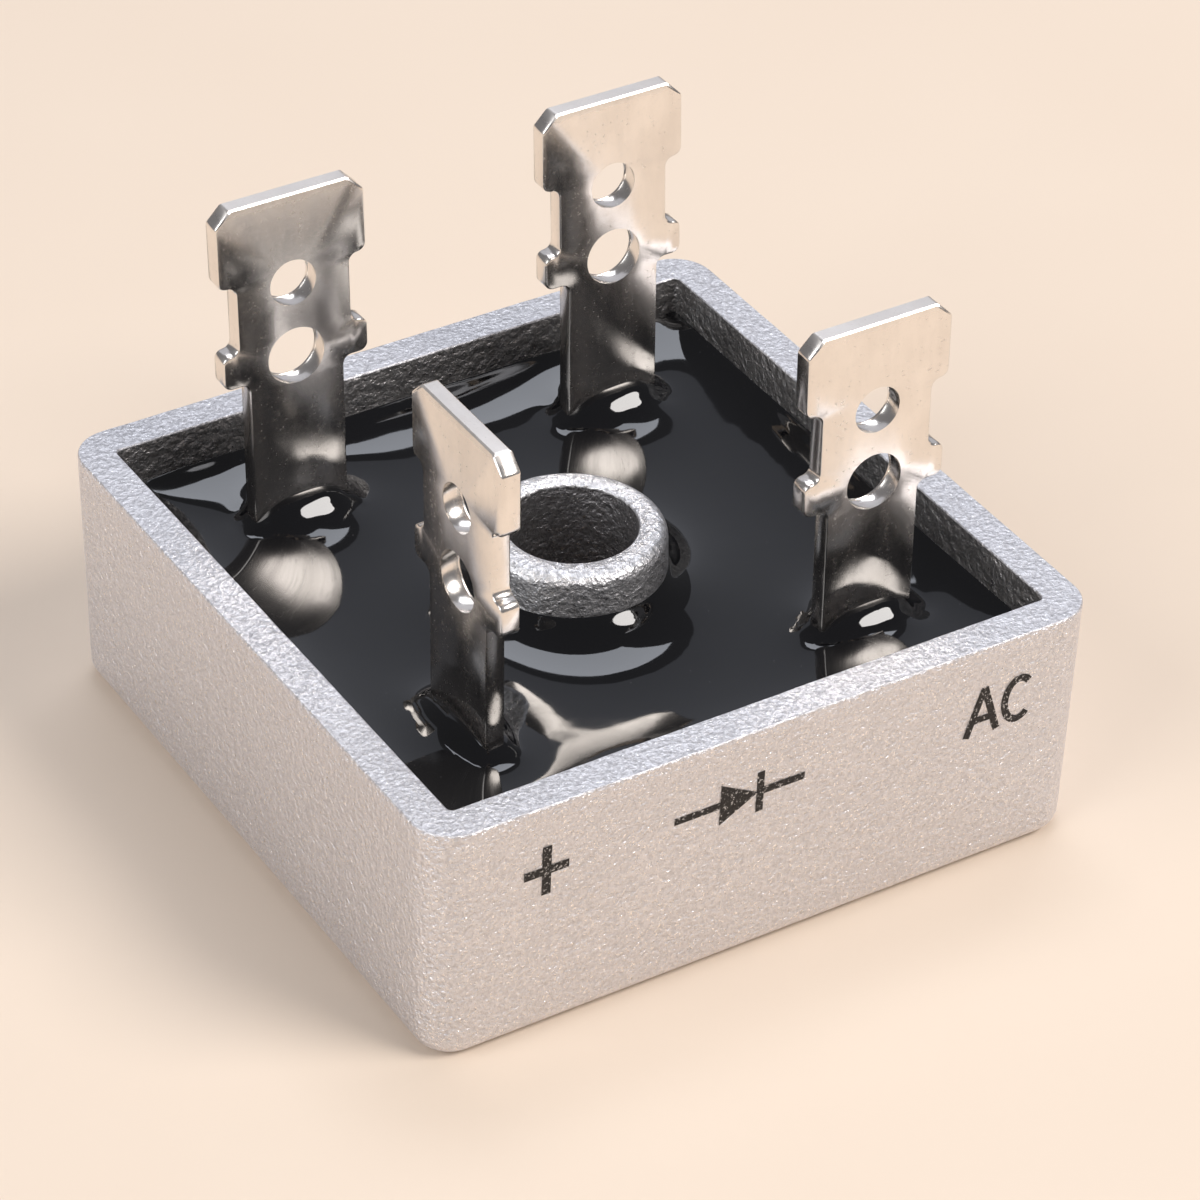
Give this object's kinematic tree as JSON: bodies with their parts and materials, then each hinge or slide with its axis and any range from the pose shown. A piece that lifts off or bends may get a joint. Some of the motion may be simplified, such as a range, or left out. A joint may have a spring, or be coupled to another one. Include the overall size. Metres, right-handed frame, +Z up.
{
  "type": "bridge rectifier",
  "caption": "Square potted bridge rectifier: drafted die-cast cup with a bored centre boss, black resin and upright push-on blades, one turned a quarter turn.",
  "frame": {"origin": "centre of the base, on the face that rests on the heat sink", "axes": "+Z up along the blades and the mounting hole; the marked side faces -Y; positive blade at (-X, -Y), negative at (+X, +Y)"},
  "size_m": [0.0286, 0.0286, 0.0222],
  "materials": {
    "case_metal": "fine sand-blasted die casting",
    "resin": "glossy cast epoxy",
    "blade_plating": "satin tin-nickel plating, slightly mottled",
    "copper": "plain copper sheet",
    "silicon": "polished silicon",
    "solder": "soft solder",
    "ceramic_plate": "matte alumina"
  },
  "bodies": {
    "root": {"case": "case_metal", "insulating_plate": "ceramic_plate", "link_positive": "copper", "link_negative": "copper", "link_ac_left": "copper", "link_ac_right": "copper", "diode_left": "silicon", "diode_front": "silicon", "diode_right": "silicon", "diode_back": "silicon", "terminal_positive": "blade_plating", "terminal_negative": "blade_plating", "terminal_ac_left": "blade_plating", "terminal_ac_right": "blade_plating", "potting": "resin", "solder_left_lower": "solder", "solder_left_upper": "solder", "solder_front_lower": "solder", "solder_front_upper": "solder", "solder_right_lower": "solder", "solder_right_upper": "solder", "solder_back_lower": "solder", "solder_back_upper": "solder", "solder_positive": "solder", "solder_negative": "solder", "solder_ac_left": "solder", "solder_ac_right": "solder"}
  },
  "joints": []
}
